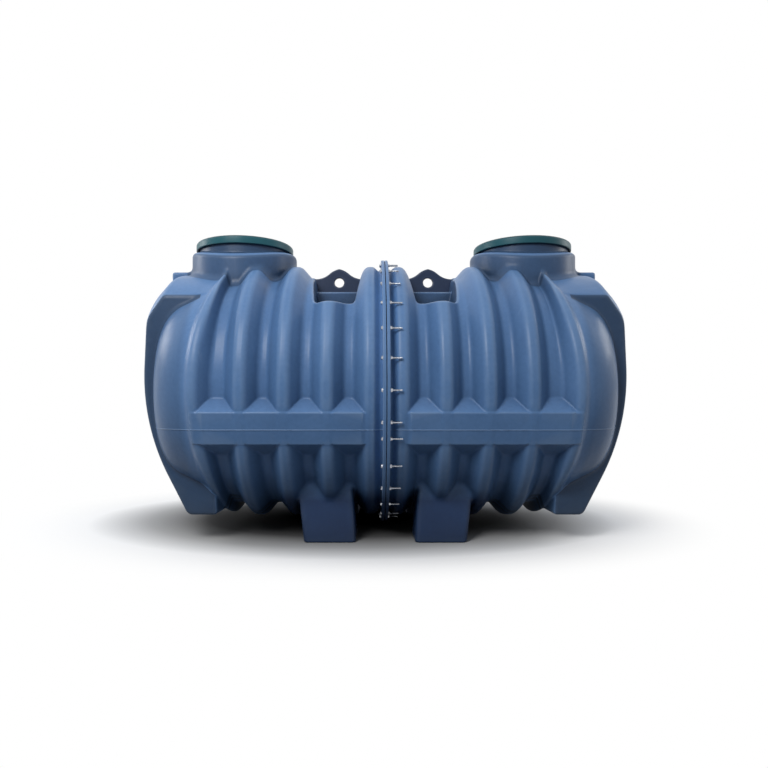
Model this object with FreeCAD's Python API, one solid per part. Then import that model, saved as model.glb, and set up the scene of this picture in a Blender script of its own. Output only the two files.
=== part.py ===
"""Oil separator tank: two ribbed half shells bolted together at a middle flange.

Millimetres, +Z up, X along the tank, the bolted joint at X = 0, ground at Z = 0.
Every half is modelled on the +X side and mirrored. Heights named below are measured
from the tank's axis, and each solid is lifted to the ground frame when it is written.
"""
import FreeCAD
import Part
import math
import os

from FreeCAD import Vector

# Bolted joint
FLANGE_RADIUS = 800.0
FLANGE_THICKNESS = 17.0
GROUND_CLEARANCE = 29.0
GASKET_THICKNESS = 4.0
GASKET_EDGE_MARGIN = 5.0
BOLT_EDGE_DISTANCE = 26.0
BOLT_HOLE_DIAMETER = 11.0
UPPER_BOLT_COUNT = 18
LOWER_BOLT_COUNT = 13
PARTING_BOLT_ANGLE = 3.2

# Ribbed barrel
WALL = 12.0
PARTING_HEIGHT = -205.0
CREST_INSET = 38.0
GROOVE_DEPTH = 74.0
GROOVE_COUNT = 4
GROOVE_PITCH = 220.0
FIRST_GROOVE_X = 192.0
CREST_WIDTH = 48.0
GROOVE_FLOOR = 44.0
RIB_FILLET = 44.0
HUMP_HEIGHT = 27.0
HUMP_ROOT_LENGTH = 15.0
HUMP_RISE_LENGTH = 30.0
HUMP_FILLET = 16.0

# Outer rib and domed end
OUTER_CREST_DISTANCE = 158.0
OUTER_CREST_WIDTH = 44.0
OUTER_CREST_DROP = 6.0
OUTER_CREST_FILLET = 26.0
DOME_START_DISTANCE = 70.0
DOME_START_DROP = 44.0
DOME_START_FILLET = 40.0
DOME_TAPER_LENGTH = 182.0
DOME_TAPER_DROP = 95.0
DOME_KNUCKLE_RADIUS = 330.0
DOME_BULGE = 38.0

# Flat sided boss over the middle of the end
BOSS_HALF_WIDTH = 485.0
BOSS_TOP_DROP = 52.0
BOSS_BOTTOM_RISE = 78.0
BOSS_INNER_REACH = 80.0
BOSS_TOE_DISTANCE = 71.0
BOSS_BELLY_PROUD = 29.0
BOSS_BELLY_HEIGHT = -188.0
BOSS_BROW_SETBACK = 43.0
BROW_CONE_SETBACK = 64.0
BROW_CONE_DEPTH = 247.0
BOSS_TOE_FILLET = 45.0
BOSS_BELLY_FILLET = 1200.0
BOSS_BROW_FILLET = 80.0
BOSS_EDGE_FILLET = 26.0

# Raised ridge on the middle line between the manhole and the end
RIDGE_WIDTH = 200.0
RIDGE_RISE = 11.0
RIDGE_SETBACK = 36.0
RIDGE_DEPTH = 181.0
RIDGE_CORNER_FILLET = 16.0

# Manhole neck, seal and lid
MANHOLE_DISTANCE = 16.0
NECK_RADIUS = 320.0
NECK_RISE = 86.0
NECK_SHOULDER_FILLET = 28.0
COLLAR_INSET = 41.0
COLLAR_HEIGHT = 40.0
SEAL_THICKNESS = 6.0
LID_OVERHANG = 18.0
LID_THICKNESS = 9.0
LID_SKIRT_CLEARANCE = 7.0
LID_EDGE_FILLET = 16.0
LID_CROWN = 24.0

# Lifting lug and the recess around it
RECESS_OFFSET = -24.0
RECESS_FLOOR_WIDTH = 215.0
RECESS_TOP_WIDTH = 325.0
RECESS_DEPTH = 292.0
RECESS_CORNER_FILLET = 26.0
SHELF_RISE = 120.0
SHELF_HALF_WIDTH = 190.0
LUG_THICKNESS = 30.0
LUG_SHOULDER_RISE = 112.0
LUG_PEAK_RISE = 66.0
LUG_PEAK_WIDTH = 60.0
LUG_BASE_WIDTH = 190.0
LUG_FILLET = 38.0
LUG_HOLE_DIAMETER = 60.0
LUG_HOLE_DROP = 88.0

# Moulded band along each side
BAND_RISE = 87.0
BAND_DROP = 74.0
BAND_RUN_OUT_RISE = 80.0
BAND_RUN_OUT_DROP = 67.0
BAND_PROUD = 2.0
BAND_START_X = 104.0
BAND_END_SETBACK = 20.0

# Feet
FOOT_LENGTH = 284.0
FOOT_OUTER_Y = 512.0
FOOT_DEPTH = 250.0
FOOT_DRAFT = 16.0
FOOT_LEAN = 41.0
FOOT_CORNER_FILLET = 28.0

# Radii and heights worked out from the sizes above
AXIS_HEIGHT = FLANGE_RADIUS + GROUND_CLEARANCE
BOLT_CIRCLE_RADIUS = FLANGE_RADIUS - BOLT_EDGE_DISTANCE
CREST_RADIUS = FLANGE_RADIUS - CREST_INSET
GROOVE_RADIUS = CREST_RADIUS - GROOVE_DEPTH
HUMP_ROOT_RADIUS = CREST_RADIUS - HUMP_HEIGHT
PARTING_ANGLE = math.degrees(math.asin(PARTING_HEIGHT / CREST_RADIUS))
OUTER_CREST_RADIUS = CREST_RADIUS - OUTER_CREST_DROP
DOME_START_RADIUS = OUTER_CREST_RADIUS - DOME_START_DROP
DOME_SHOULDER_RADIUS = DOME_START_RADIUS - DOME_TAPER_DROP
BOSS_TOP_RADIUS = CREST_RADIUS - BOSS_TOP_DROP
BOSS_BOTTOM_HEIGHT = BOSS_BOTTOM_RISE - CREST_RADIUS
RIDGE_TOP_HEIGHT = BOSS_TOP_RADIUS + RIDGE_RISE
RIDGE_FOOT_HEIGHT = RIDGE_TOP_HEIGHT - RIDGE_DEPTH
BORE_RADIUS = NECK_RADIUS - WALL
COLLAR_RADIUS = NECK_RADIUS - COLLAR_INSET
NECK_SHOULDER_HEIGHT = CREST_RADIUS + NECK_RISE
COLLAR_TOP_HEIGHT = NECK_SHOULDER_HEIGHT + COLLAR_HEIGHT
LID_SEAT_HEIGHT = COLLAR_TOP_HEIGHT + SEAL_THICKNESS
LID_RADIUS = COLLAR_RADIUS + LID_OVERHANG
RECESS_FLOOR_HEIGHT = CREST_RADIUS - RECESS_DEPTH
SHELF_HEIGHT = RECESS_FLOOR_HEIGHT + SHELF_RISE
LUG_SHOULDER_HEIGHT = SHELF_HEIGHT + LUG_SHOULDER_RISE
LUG_PEAK_HEIGHT = LUG_SHOULDER_HEIGHT + LUG_PEAK_RISE
LUG_HOLE_HEIGHT = LUG_PEAK_HEIGHT - LUG_HOLE_DROP
BAND_TOP_HEIGHT = PARTING_HEIGHT + BAND_RISE
BAND_BOTTOM_HEIGHT = PARTING_HEIGHT - BAND_DROP
BAND_RUN_OUT_TOP = BAND_TOP_HEIGHT + BAND_RUN_OUT_RISE
BAND_RUN_OUT_BOTTOM = BAND_BOTTOM_HEIGHT - BAND_RUN_OUT_DROP
FOOT_TOP_HEIGHT = -math.sqrt((GROOVE_RADIUS - WALL) ** 2 - (FOOT_OUTER_Y + FOOT_DRAFT) ** 2)

# Places along the tank worked out from the sizes above
BARREL_START_X = GASKET_THICKNESS / 2 + FLANGE_THICKNESS
GROOVE_MOUTH = GROOVE_PITCH - CREST_WIDTH
LAST_GROOVE_X = FIRST_GROOVE_X + (GROOVE_COUNT - 1) * GROOVE_PITCH
FIRST_RIB_X = FIRST_GROOVE_X + GROOVE_PITCH / 2
OUTER_CREST_X = LAST_GROOVE_X + OUTER_CREST_DISTANCE
DOME_START_X = OUTER_CREST_X + DOME_START_DISTANCE
DOME_SHOULDER_X = DOME_START_X + DOME_TAPER_LENGTH
DOME_POLE_X = DOME_SHOULDER_X + DOME_BULGE
BOSS_INNER_X = OUTER_CREST_X - BOSS_INNER_REACH
BOSS_TOE_X = OUTER_CREST_X + BOSS_TOE_DISTANCE
BOSS_BELLY_X = DOME_POLE_X + BOSS_BELLY_PROUD
BOSS_BROW_X = BOSS_BELLY_X - BOSS_BROW_SETBACK
RIDGE_END_X = BOSS_BELLY_X - RIDGE_SETBACK
MANHOLE_X = LAST_GROOVE_X + MANHOLE_DISTANCE
RECESS_X = FIRST_RIB_X + RECESS_OFFSET
BAND_END_X = OUTER_CREST_X - BAND_END_SETBACK
REACH = 2 * FLANGE_RADIUS


def rounded_edges(points, radii):
    """A closed outline through the points, with a tangent arc at each corner that has a radius."""
    count = len(points)
    stops = []
    for index, corner in enumerate(points):
        radius = radii[index]
        if radius <= 0:
            stops.append((corner, None, corner))
            continue
        back = (points[index - 1] - corner).normalize()
        ahead = (points[(index + 1) % count] - corner).normalize()
        half_angle = back.getAngle(ahead) / 2
        bisector = (back + ahead).normalize()
        run = radius / math.tan(half_angle)
        middle = corner + bisector * (radius / math.sin(half_angle) - radius)
        stops.append((corner + back * run, middle, corner + ahead * run))
    edges = []
    for index, (start, middle, end) in enumerate(stops):
        if middle is not None:
            edges.append(Part.Arc(start, middle, end).toShape())
        following = stops[(index + 1) % count][0]
        if end.distanceToPoint(following) > 1e-6:
            edges.append(Part.LineSegment(end, following).toShape())
    return edges


def rounded_face(points, radii):
    """A flat face with the given corners and corner radii."""
    return Part.Face(Part.Wire(rounded_edges(points, radii)))


def offset_path(points, radii, distance):
    """The same path moved towards the axis by a wall, with each corner arc kept concentric."""
    normals = []
    for start, end in zip(points, points[1:]):
        along = (end - start).normalize()
        normals.append(Vector(along.z, 0, -along.x))
    moved = [points[0] + normals[0] * distance]
    moved_radii = [0]
    for index in range(1, len(points) - 1):
        before, after = normals[index - 1], normals[index]
        mitre = before + after
        moved.append(points[index] + mitre * (distance * 2 / mitre.dot(mitre)))
        turn = before.cross(after).y
        moved_radii.append(radii[index] + distance if turn < 0 else max(radii[index] - distance, 1.0))
    moved.append(points[-1] + normals[-1] * distance)
    moved_radii.append(0)
    return moved, moved_radii


def spun(face, start_angle=0.0, sweep=360.0):
    """A face in the XZ plane turned about the tank's axis, from an angle above the +Y side."""
    turned = face.copy()
    turned.rotate(Vector(), Vector(1, 0, 0), start_angle - 90)
    return turned.revolve(Vector(), Vector(1, 0, 0), sweep)


def wall_section(points, radii):
    """The cut through a wall whose outer surface follows the path."""
    inner, inner_radii = offset_path(points, radii, WALL)
    outline = points + inner[::-1]
    return rounded_face(outline, radii + inner_radii[::-1])


def filled_section(points, radii):
    """Everything between the path and the tank's axis."""
    outline = list(points)
    outline_radii = list(radii)
    if points[-1].z > 0:
        outline.append(Vector(points[-1].x, 0, 0))
        outline_radii.append(0)
    outline.append(Vector(points[0].x, 0, 0))
    outline_radii.append(0)
    return rounded_face(outline, outline_radii)


def profile_point(x, radius):
    """A point of a turned profile: its place along the axis and its distance from it."""
    return Vector(x, 0, radius)


def barrel_path():
    """The ribbed barrel from the flange to the middle of the outer rib."""
    hump_start = BARREL_START_X + HUMP_ROOT_LENGTH
    path = [
        (profile_point(BARREL_START_X, HUMP_ROOT_RADIUS), 0),
        (profile_point(hump_start, HUMP_ROOT_RADIUS), HUMP_FILLET),
        (profile_point(hump_start + HUMP_RISE_LENGTH, CREST_RADIUS), HUMP_FILLET),
    ]
    for index in range(GROOVE_COUNT):
        middle = FIRST_GROOVE_X + index * GROOVE_PITCH
        path.append((profile_point(middle - GROOVE_MOUTH / 2, CREST_RADIUS), RIB_FILLET))
        path.append((profile_point(middle - GROOVE_FLOOR / 2, GROOVE_RADIUS), RIB_FILLET))
        path.append((profile_point(middle + GROOVE_FLOOR / 2, GROOVE_RADIUS), RIB_FILLET))
        if index < GROOVE_COUNT - 1:
            path.append((profile_point(middle + GROOVE_MOUTH / 2, CREST_RADIUS), RIB_FILLET))
    crest_start = OUTER_CREST_X - OUTER_CREST_WIDTH / 2
    path.append((profile_point(crest_start, OUTER_CREST_RADIUS), OUTER_CREST_FILLET))
    path.append((profile_point(OUTER_CREST_X, OUTER_CREST_RADIUS), 0))
    return [point for point, radius in path], [radius for point, radius in path]


def dome_path():
    """The domed end from the middle of the outer rib to the pole."""
    crest_end = OUTER_CREST_X + OUTER_CREST_WIDTH / 2
    points = [
        profile_point(OUTER_CREST_X, OUTER_CREST_RADIUS),
        profile_point(crest_end, OUTER_CREST_RADIUS),
        profile_point(DOME_START_X, DOME_START_RADIUS),
        profile_point(DOME_SHOULDER_X, DOME_SHOULDER_RADIUS),
        profile_point(DOME_POLE_X, 0),
    ]
    return points, [0, OUTER_CREST_FILLET, DOME_START_FILLET, DOME_KNUCKLE_RADIUS, 0]


def dome_wall_section():
    """The dome's wall, closed on the axis at its pole."""
    points, radii = dome_path()
    inner, inner_radii = offset_path(points, radii, WALL)
    inner[-1] = Vector(points[-1].x - WALL, 0, 0)
    return rounded_face(points + inner[::-1], radii + inner_radii[::-1])


def boss_block(inset):
    """The boss as a solid block, with every outer face moved inwards by the inset."""
    outline = [
        Vector(BOSS_INNER_X, 0, BOSS_BOTTOM_HEIGHT),
        Vector(BOSS_TOE_X, 0, BOSS_BOTTOM_HEIGHT),
        Vector(BOSS_BELLY_X, 0, BOSS_BELLY_HEIGHT),
        Vector(BOSS_BROW_X, 0, FLANGE_RADIUS),
        Vector(BOSS_INNER_X, 0, FLANGE_RADIUS),
    ]
    face = rounded_face(outline, [0, BOSS_TOE_FILLET, BOSS_BELLY_FILLET, 0, 0])
    if inset:
        face = face.makeOffset2D(-inset)
    half_width = BOSS_HALF_WIDTH - inset
    face.translate(Vector(0, -half_width, 0))
    block = face.extrude(Vector(0, 2 * half_width, 0))
    if not inset:
        end_edges = [edge for edge in block.Edges if is_boss_end_edge(edge)]
        block = block.makeFillet(BOSS_EDGE_FILLET, end_edges)
    top_radius = BOSS_TOP_RADIUS - inset
    brow_x = BOSS_BELLY_X - BROW_CONE_SETBACK - inset
    cone_length = BROW_CONE_SETBACK / BROW_CONE_DEPTH * top_radius
    top_outline = [
        profile_point(OUTER_CREST_X, 0),
        profile_point(OUTER_CREST_X, top_radius),
        profile_point(brow_x, top_radius),
        profile_point(brow_x + cone_length, 0),
    ]
    top_form = spun(rounded_face(top_outline, [0, 0, BOSS_BROW_FILLET - inset, 0]))
    above = Part.makeBox(REACH, REACH, REACH, Vector(0, -REACH / 2, BOSS_BELLY_HEIGHT))
    return block.cut(above.cut(top_form))


def boss_passage():
    """The clear space inside the boss, run on straight through the end of the tank."""
    half_width = BOSS_HALF_WIDTH - WALL
    corner = Vector(OUTER_CREST_X, -half_width, BOSS_BOTTOM_HEIGHT + WALL)
    box = Part.makeBox(REACH, 2 * half_width, REACH, corner)
    above = Part.makeBox(REACH, REACH, REACH, Vector(OUTER_CREST_X, -REACH / 2, 0))
    start = Vector(OUTER_CREST_X, 0, 0)
    round_top = Part.makeCylinder(BOSS_TOP_RADIUS - WALL, REACH, start, Vector(1, 0, 0))
    return box.cut(above.cut(round_top))


def is_boss_end_edge(edge):
    """Whether an edge of the plain boss block runs round its end face, on either side."""
    box = edge.BoundBox
    on_side = box.YLength < 1e-6
    past_toe = box.XMin > BOSS_TOE_X - BOSS_TOE_FILLET and box.ZMax < FLANGE_RADIUS + 1
    return on_side and past_toe and box.ZLength > 1e-6


def neck_cylinder(radius):
    """An upright cylinder on the manhole's axis, through the top of the tank."""
    return Part.makeCylinder(radius, REACH, Vector(MANHOLE_X, 0, 0))


def upright_ring(outline, radii):
    """A profile of (distance from the manhole's axis, height) turned about that axis."""
    points = [Vector(MANHOLE_X + distance, 0, height) for distance, height in outline]
    return rounded_face(points, radii).revolve(Vector(MANHOLE_X, 0, 0), Vector(0, 0, 1), 360)


def recess_void(inset):
    """The space of the lug recess, grown into the wall by the inset."""
    half_floor = RECESS_FLOOR_WIDTH / 2
    half_top = RECESS_TOP_WIDTH / 2
    outline = [
        Vector(RECESS_X - half_floor, 0, RECESS_FLOOR_HEIGHT),
        Vector(RECESS_X + half_floor, 0, RECESS_FLOOR_HEIGHT),
        Vector(RECESS_X + half_top, 0, FLANGE_RADIUS),
        Vector(RECESS_X - half_top, 0, FLANGE_RADIUS),
    ]
    face = rounded_face(outline, [RECESS_CORNER_FILLET, RECESS_CORNER_FILLET, 0, 0])
    if inset:
        face = face.makeOffset2D(inset, 2)
    face.translate(Vector(0, -REACH / 2, 0))
    void = face.extrude(Vector(0, REACH, 0))
    half_shelf = SHELF_HALF_WIDTH - inset
    shelf = Part.makeBox(REACH, 2 * half_shelf, SHELF_HEIGHT - inset, Vector(0, -half_shelf, 0))
    return void.cut(shelf)


def foot_block(inset):
    """The front foot as a tapered, leaning block, with every face moved inwards by the inset."""
    levels = (
        (-AXIS_HEIGHT + inset, FIRST_RIB_X, 0.0),
        (FOOT_TOP_HEIGHT, FIRST_RIB_X + FOOT_LEAN, FOOT_DRAFT),
    )
    outlines = []
    for height, middle, spread in levels:
        half_length = FOOT_LENGTH / 2 + spread - inset
        outer = -FOOT_OUTER_Y - spread + inset
        inner = -FOOT_OUTER_Y + FOOT_DEPTH + spread - inset
        corners = [
            Vector(middle - half_length, outer, height),
            Vector(middle + half_length, outer, height),
            Vector(middle + half_length, inner, height),
            Vector(middle - half_length, inner, height),
        ]
        radii = [FOOT_CORNER_FILLET - inset] * len(corners)
        outlines.append(Part.Wire(rounded_edges(corners, radii)))
    return Part.makeLoft(outlines, True, True)


def band_block():
    """The front band as a prism that reaches in past the groove floors."""
    outer_radius = CREST_RADIUS + BAND_PROUD
    root_radius = GROOVE_RADIUS - WALL / 2

    def on_circle(radius, height):
        return Vector(BAND_START_X, -math.sqrt(radius ** 2 - height ** 2), height)

    outline = [
        on_circle(outer_radius, BAND_TOP_HEIGHT),
        on_circle(outer_radius, PARTING_HEIGHT),
        on_circle(outer_radius, BAND_BOTTOM_HEIGHT),
        on_circle(root_radius, BAND_RUN_OUT_BOTTOM),
        on_circle(root_radius, BAND_RUN_OUT_TOP),
    ]
    return rounded_face(outline, [0] * len(outline)).extrude(Vector(BAND_END_X - BAND_START_X, 0, 0))


def bolt_angles():
    """Angles of the flange bolts, counted from the +Y side upwards."""
    first = PARTING_ANGLE + PARTING_BOLT_ANGLE
    upper_step = (180 - 2 * first) / (UPPER_BOLT_COUNT - 1)
    upper = [first + index * upper_step for index in range(UPPER_BOLT_COUNT)]
    last = PARTING_ANGLE - PARTING_BOLT_ANGLE
    lower_step = (180 + 2 * last) / (LOWER_BOLT_COUNT - 1)
    lower = [last - index * lower_step for index in range(LOWER_BOLT_COUNT)]
    return upper + lower


def flange():
    """The bolting ring at the open end of a half."""
    start = GASKET_THICKNESS / 2
    ring = Part.makeCylinder(FLANGE_RADIUS, FLANGE_THICKNESS, Vector(start, 0, 0), Vector(1, 0, 0))
    bore = Part.makeCylinder(HUMP_ROOT_RADIUS - WALL, REACH, Vector(), Vector(1, 0, 0))
    holes = []
    for angle in bolt_angles():
        turn = math.radians(angle)
        centre = Vector(0, BOLT_CIRCLE_RADIUS * math.cos(turn), BOLT_CIRCLE_RADIUS * math.sin(turn))
        holes.append(Part.makeCylinder(BOLT_HOLE_DIAMETER / 2, REACH, centre, Vector(1, 0, 0)))
    return ring.cut([bore] + holes)


def flange_gasket():
    """The flat ring pressed between the two flanges, inside the bolts."""
    outer = BOLT_CIRCLE_RADIUS - BOLT_HOLE_DIAMETER / 2 - GASKET_EDGE_MARGIN
    start = Vector(-GASKET_THICKNESS / 2, 0, 0)
    ring = Part.makeCylinder(outer, GASKET_THICKNESS, start, Vector(1, 0, 0))
    return ring.cut(Part.makeCylinder(HUMP_ROOT_RADIUS - WALL, REACH, start, Vector(1, 0, 0)))


def neck_pad(inset):
    """The wide foot of the neck, curved on top like the barrel, with faces moved inwards by the inset."""
    upright = Part.makeCylinder(NECK_RADIUS - inset, REACH, Vector(MANHOLE_X, 0, RIDGE_FOOT_HEIGHT))
    across = Part.makeCylinder(NECK_SHOULDER_HEIGHT - inset, REACH, Vector(), Vector(1, 0, 0))
    across.rotate(Vector(), Vector(1, 0, 0), 180)
    pad = upright.common(across)
    rim = [edge for edge in pad.Edges if edge.BoundBox.ZMin > RIDGE_FOOT_HEIGHT + WALL]
    return pad.makeFillet(NECK_SHOULDER_FILLET - inset, rim)


def manhole_neck(bodies):
    """The neck with its rounded shoulder and upright collar, standing on the ribs and the boss."""
    height = COLLAR_TOP_HEIGHT - RIDGE_FOOT_HEIGHT
    collar = Part.makeCylinder(COLLAR_RADIUS, height, Vector(MANHOLE_X, 0, RIDGE_FOOT_HEIGHT))
    hollow = [neck_pad(WALL), neck_cylinder(COLLAR_RADIUS - WALL)]
    return neck_pad(0).fuse(collar).cut(hollow + bodies)


def lid_seal():
    """The flat seal on the collar's rim."""
    outline = [
        (COLLAR_RADIUS, COLLAR_TOP_HEIGHT),
        (COLLAR_RADIUS, LID_SEAT_HEIGHT),
        (COLLAR_RADIUS - WALL, LID_SEAT_HEIGHT),
        (COLLAR_RADIUS - WALL, COLLAR_TOP_HEIGHT),
    ]
    return upright_ring(outline, [0] * len(outline))


def manhole_lid():
    """The cap over the collar: a skirt with a rounded edge and a shallow crown."""
    skirt_inner = COLLAR_RADIUS + LID_SKIRT_CLEARANCE
    skirt_bottom = NECK_SHOULDER_HEIGHT + LID_SKIRT_CLEARANCE
    top = LID_SEAT_HEIGHT + LID_THICKNESS
    seat_inner = COLLAR_RADIUS - WALL - LID_EDGE_FILLET
    outline = [
        (LID_RADIUS, skirt_bottom),
        (LID_RADIUS, top),
        (seat_inner, top),
        (0, top + LID_CROWN),
        (0, LID_SEAT_HEIGHT + LID_CROWN),
        (seat_inner, LID_SEAT_HEIGHT),
        (skirt_inner, LID_SEAT_HEIGHT),
        (skirt_inner, skirt_bottom),
    ]
    crown_fillet = COLLAR_RADIUS
    return upright_ring(outline, [0, LID_EDGE_FILLET, crown_fillet, 0, 0, crown_fillet, 0, 0])


def lifting_lug():
    """The bell shaped plate with its eye, between the walls of the recess."""
    half_base = LUG_BASE_WIDTH / 2
    half_peak = LUG_PEAK_WIDTH / 2
    side = RECESS_TOP_WIDTH
    outline = [
        Vector(RECESS_X - side, 0, SHELF_HEIGHT),
        Vector(RECESS_X + side, 0, SHELF_HEIGHT),
        Vector(RECESS_X + side, 0, LUG_SHOULDER_HEIGHT),
        Vector(RECESS_X + half_base, 0, LUG_SHOULDER_HEIGHT),
        Vector(RECESS_X + half_peak, 0, LUG_PEAK_HEIGHT),
        Vector(RECESS_X - half_peak, 0, LUG_PEAK_HEIGHT),
        Vector(RECESS_X - half_base, 0, LUG_SHOULDER_HEIGHT),
        Vector(RECESS_X - side, 0, LUG_SHOULDER_HEIGHT),
    ]
    face = rounded_face(outline, [0, 0, 0, LUG_FILLET, LUG_FILLET, LUG_FILLET, LUG_FILLET, 0])
    face.translate(Vector(0, -LUG_THICKNESS / 2, 0))
    plate = face.extrude(Vector(0, LUG_THICKNESS, 0)).common(recess_void(0))
    hole_start = Vector(RECESS_X, -LUG_THICKNESS, LUG_HOLE_HEIGHT)
    return plate.cut(Part.makeCylinder(LUG_HOLE_DIAMETER / 2, REACH, hole_start, Vector(0, 1, 0)))


def end_ridge(bodies):
    """The raised ridge from the neck over the top of the boss."""
    outline = [
        Vector(MANHOLE_X, 0, RIDGE_FOOT_HEIGHT),
        Vector(RIDGE_END_X, 0, RIDGE_FOOT_HEIGHT),
        Vector(RIDGE_END_X, 0, RIDGE_TOP_HEIGHT),
        Vector(MANHOLE_X, 0, RIDGE_TOP_HEIGHT),
    ]
    face = rounded_face(outline, [0, 0, RIDGE_CORNER_FILLET, 0])
    face.translate(Vector(0, -RIDGE_WIDTH / 2, 0))
    return face.extrude(Vector(0, RIDGE_WIDTH, 0)).cut(bodies + [neck_cylinder(NECK_RADIUS)])


def end_pieces(barrel_body, dome_body, boss_body, bore):
    """The front dome and the boss, which takes in the stretch of outer rib below it."""
    passage = boss_passage()
    half_width = BOSS_HALF_WIDTH - WALL
    below_boss = Part.makeBox(REACH, 2 * half_width, REACH, Vector(0, -half_width, -REACH))
    dome_wall = spun(dome_wall_section()).cut([passage, bore])
    front_dome = front_half(dome_wall.cut(below_boss))
    rib_below = dome_wall.common(below_boss)
    dome_sides = dome_body.cut(passage)
    boss = boss_body.cut([boss_block(WALL), barrel_body, dome_sides, bore])
    return front_dome, boss.fuse(rib_below)


def front_half(shape):
    """What lies on the front side of the tank's middle plane."""
    return shape.common(Part.makeBox(REACH, REACH, 2 * REACH, Vector(0, -REACH, -REACH)))


def rear(shape):
    """The same piece on the other side of the tank's middle plane."""
    return shape.mirror(Vector(), Vector(0, 1, 0))


def half_tank():
    """Every piece of the half on the +X side, by name."""
    barrel_points, barrel_radii = barrel_path()
    barrel_wall = wall_section(barrel_points, barrel_radii)
    barrel_body = spun(filled_section(barrel_points, barrel_radii))
    dome_body = spun(filled_section(*dome_path()))
    boss_body = boss_block(0)
    bore = neck_cylinder(BORE_RADIUS)
    bodies = [barrel_body, dome_body, boss_body]
    recess_outside = recess_void(WALL)
    foot_inside = foot_block(WALL)
    upper_rear = spun(barrel_wall, PARTING_ANGLE, 90 - PARTING_ANGLE).cut([recess_outside, bore])
    lower_front = spun(barrel_wall, 180 - PARTING_ANGLE, 90 + PARTING_ANGLE).cut(foot_inside)
    front_band = band_block().cut(barrel_body)
    front_foot = foot_block(0).cut([foot_inside, barrel_body])
    front_dome, boss = end_pieces(barrel_body, dome_body, boss_body, bore)
    front_neck = front_half(manhole_neck(bodies))
    return {
        "upper_front_shell": rear(upper_rear),
        "upper_rear_shell": upper_rear,
        "lower_front_shell": lower_front,
        "lower_rear_shell": rear(lower_front),
        "front_dome": front_dome,
        "rear_dome": rear(front_dome),
        "end_boss": boss,
        "end_ridge": end_ridge(bodies),
        "front_neck": front_neck,
        "rear_neck": rear(front_neck),
        "lug_recess": recess_outside.cut(recess_void(0)).common(barrel_body),
        "lifting_lug": lifting_lug(),
        "front_band": front_band,
        "rear_band": rear(front_band),
        "front_foot": front_foot,
        "rear_foot": rear(front_foot),
        "flange": flange(),
        "manhole_lid": manhole_lid(),
        "lid_seal": lid_seal(),
    }


def write(name, shape):
    """Lifts a finished piece to the ground frame and writes it as one node."""
    placed = shape.copy()
    placed.translate(Vector(0, 0, AXIS_HEIGHT))
    solids = placed.Solids
    print(name, len(solids), "solid", placed.isValid(), round(placed.Volume / 1e6, 2), "litres")
    node = solids[0] if len(solids) == 1 else Part.makeCompound(solids)
    node.exportStep("parts/" + name + ".step")


def main():
    os.makedirs("parts", exist_ok=True)
    for name, shape in half_tank().items():
        write("right_" + name, shape)
        write("left_" + name, shape.mirror(Vector(), Vector(1, 0, 0)))
    write("flange_gasket", flange_gasket())


main()
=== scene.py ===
"""Looks of a ribbed oil separator tank: moulded skins, lids, bolts, finishes, light and camera.

Metres, in the part's own frame. Heights named below are measured from the tank's axis, and
a profile point is a pair of x and height or radius.
The moulded skin of a half is one smooth surface: every form of the moulding is a function
that gives the distance to its face, the forms are blended with soft edges, and the zero
surface of the blend is turned into a mesh.
"""
import math

import bmesh
import bpy
import numpy as np
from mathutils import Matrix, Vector


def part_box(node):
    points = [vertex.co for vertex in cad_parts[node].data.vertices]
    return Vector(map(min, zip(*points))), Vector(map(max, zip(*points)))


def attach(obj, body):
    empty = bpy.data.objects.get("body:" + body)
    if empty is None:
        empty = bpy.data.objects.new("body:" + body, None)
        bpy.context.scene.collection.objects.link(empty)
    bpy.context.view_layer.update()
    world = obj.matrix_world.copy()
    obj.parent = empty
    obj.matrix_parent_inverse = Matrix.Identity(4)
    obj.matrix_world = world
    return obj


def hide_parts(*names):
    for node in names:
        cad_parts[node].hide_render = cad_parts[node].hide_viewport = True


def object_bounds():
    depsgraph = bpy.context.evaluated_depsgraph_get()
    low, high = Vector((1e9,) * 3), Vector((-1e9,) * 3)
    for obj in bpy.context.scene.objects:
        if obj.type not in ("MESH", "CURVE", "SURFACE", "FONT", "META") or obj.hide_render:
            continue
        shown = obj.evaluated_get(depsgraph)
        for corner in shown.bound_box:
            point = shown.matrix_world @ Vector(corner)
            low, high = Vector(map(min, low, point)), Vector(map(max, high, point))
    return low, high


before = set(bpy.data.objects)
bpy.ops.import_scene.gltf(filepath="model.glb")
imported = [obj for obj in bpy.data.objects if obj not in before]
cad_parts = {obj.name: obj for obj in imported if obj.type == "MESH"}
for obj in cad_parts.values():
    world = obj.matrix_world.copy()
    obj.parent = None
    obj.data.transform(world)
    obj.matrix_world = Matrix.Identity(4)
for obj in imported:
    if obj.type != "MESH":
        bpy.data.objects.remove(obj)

cad_low, cad_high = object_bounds()

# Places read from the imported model
flange_low, flange_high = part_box("right_flange")
seal_low, seal_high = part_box("right_lid_seal")
AXIS_HEIGHT = (flange_low.z + flange_high.z) / 2
FLANGE_RADIUS = (flange_high.z - flange_low.z) / 2
FLANGE_FACE_X = flange_low.x
FLANGE_BACK_X = flange_high.x
MANHOLE_X = (seal_low.x + seal_high.x) / 2
COLLAR_RADIUS = (seal_high.x - seal_low.x) / 2
COLLAR_TOP = seal_low.z - AXIS_HEIGHT
LID_SEAT = seal_high.z - AXIS_HEIGHT
FOOT_BOTTOM = cad_low.z - AXIS_HEIGHT

# Mesh of the skins
SKIN_STEP = 0.009
SKIN_TRIANGLES = 144000
SKIN_START_X = FLANGE_FACE_X + 0.008
SKIN_MARGIN = (0.03, 0.02, 0.02)
LINER_STEP = 0.022
LUG_STEP = 0.005
WALL = 0.012
NORMAL_STEP = 0.0012
LEAST_SQUARED_SLOPE = 0.05

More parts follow.
